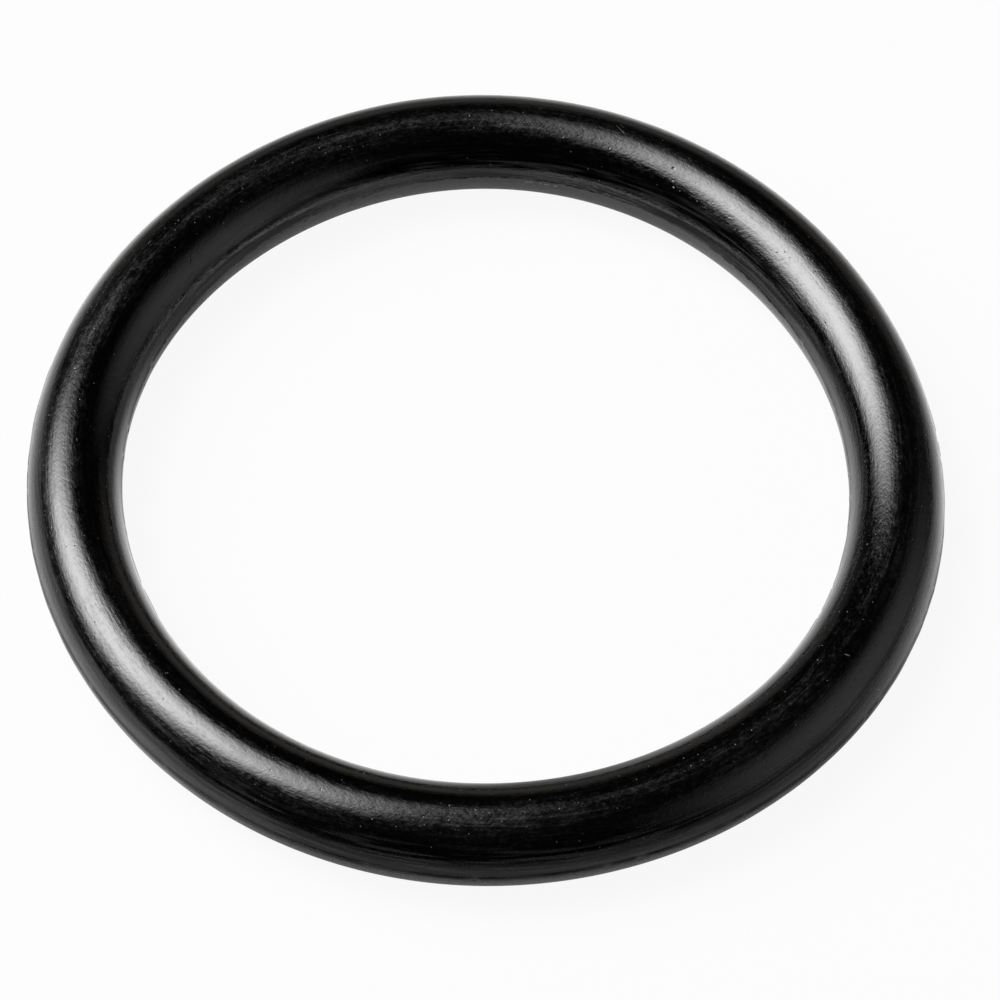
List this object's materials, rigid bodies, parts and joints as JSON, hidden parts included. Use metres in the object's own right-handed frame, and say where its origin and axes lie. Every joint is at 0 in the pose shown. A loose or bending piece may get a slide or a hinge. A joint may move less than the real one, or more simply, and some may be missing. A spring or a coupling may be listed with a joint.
{
  "type": "rubber o-ring",
  "caption": "Black rubber o-ring of round section with a trimmed mould line, which seals a shaft, spigot or bore when it is squeezed in a groove.",
  "frame": {"origin": "centre of the ring, on the mid-plane where the mould line runs", "axes": "+Z along the ring's axis, upwards as it lies flat; X and Y in the plane of the ring"},
  "size_m": [0.0338, 0.0338, 0.0036],
  "materials": {
    "rubber": "black moulded nitrile rubber with a satin sheen, fine streaks around the ring and small specks"
  },
  "bodies": {
    "root": {"o_ring": "rubber"}
  },
  "joints": []
}
